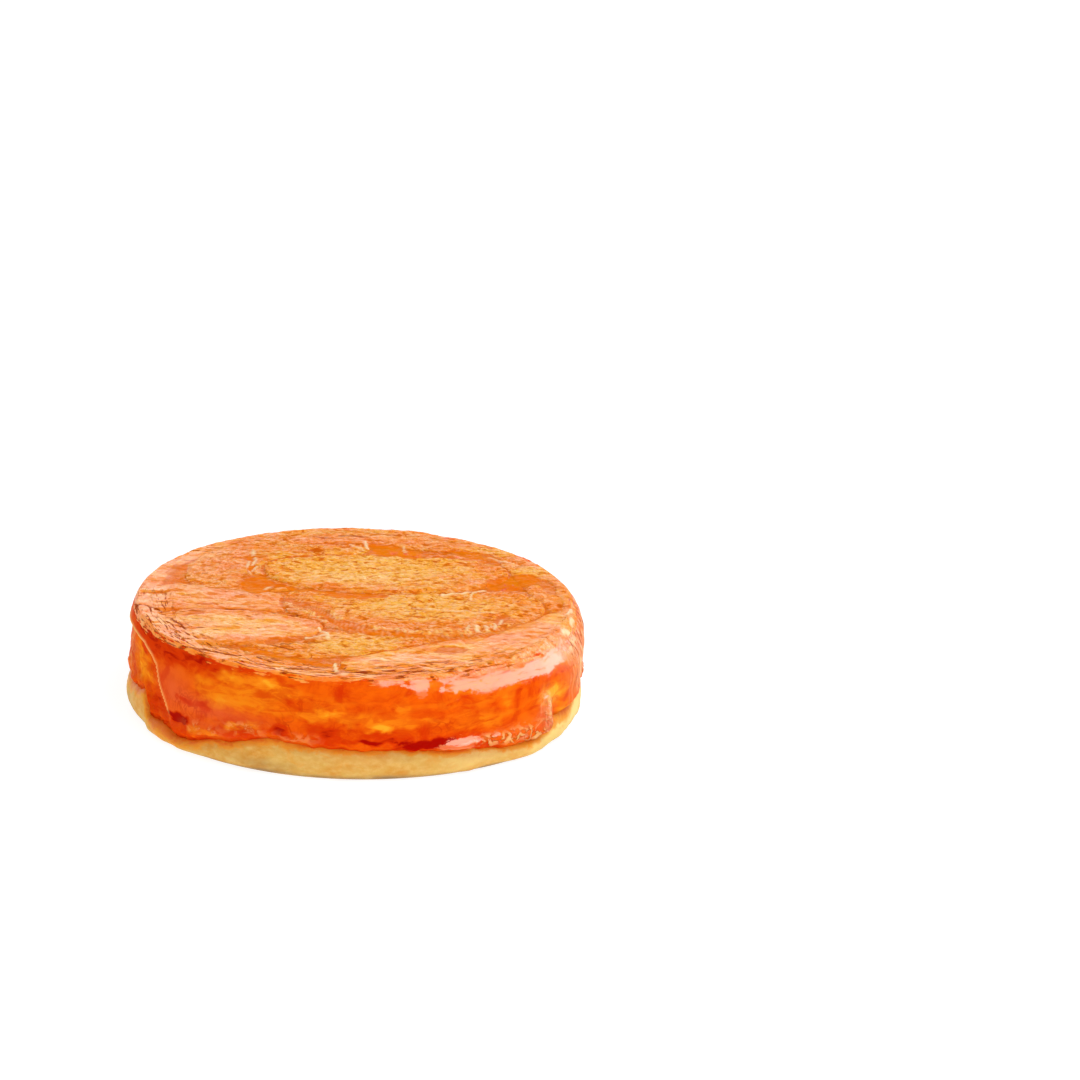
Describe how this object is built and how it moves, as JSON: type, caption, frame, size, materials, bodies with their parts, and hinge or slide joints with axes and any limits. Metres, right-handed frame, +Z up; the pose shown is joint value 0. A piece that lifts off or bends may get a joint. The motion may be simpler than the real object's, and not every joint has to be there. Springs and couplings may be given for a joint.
{
  "type": "tarte tatin",
  "caption": "Round single-portion upside-down fruit tart: a moulded caramelised filling with glazed slices let into its flat top, on an uneven disc of baked dough.",
  "frame": {"origin": "middle of the tart's box, on the surface that the tart stands on", "axes": "+Z up through the tart, -Y towards the side that shows best, with the oval slice at the back"},
  "size_m": [0.1038, 0.103, 0.0242],
  "materials": {
    "pastry": "pale golden baked dough, dry and slightly grainy, stained orange where the caramel ran over it",
    "caramel": "translucent orange caramel jelly with soft fruit in it, wet gloss, dark red in the thick places",
    "apple": "cooked golden orange fruit under a finely crinkled glossy glaze, thin dark cracks at the edges"
  },
  "bodies": {
    "root": {"pastry_base": "pastry", "caramel_filling": "caramel", "apple_slice_oval": "apple", "apple_slice_tongue": "apple", "apple_slice_middle": "apple", "apple_slice_right": "apple", "apple_slice_upper_left": "apple", "apple_slice_left": "apple", "apple_slice_behind": "apple", "apple_slice_front": "apple", "apple_slice_back": "apple", "apple_slice_right_rim": "apple", "apple_slice_front_rim": "apple"}
  },
  "joints": []
}
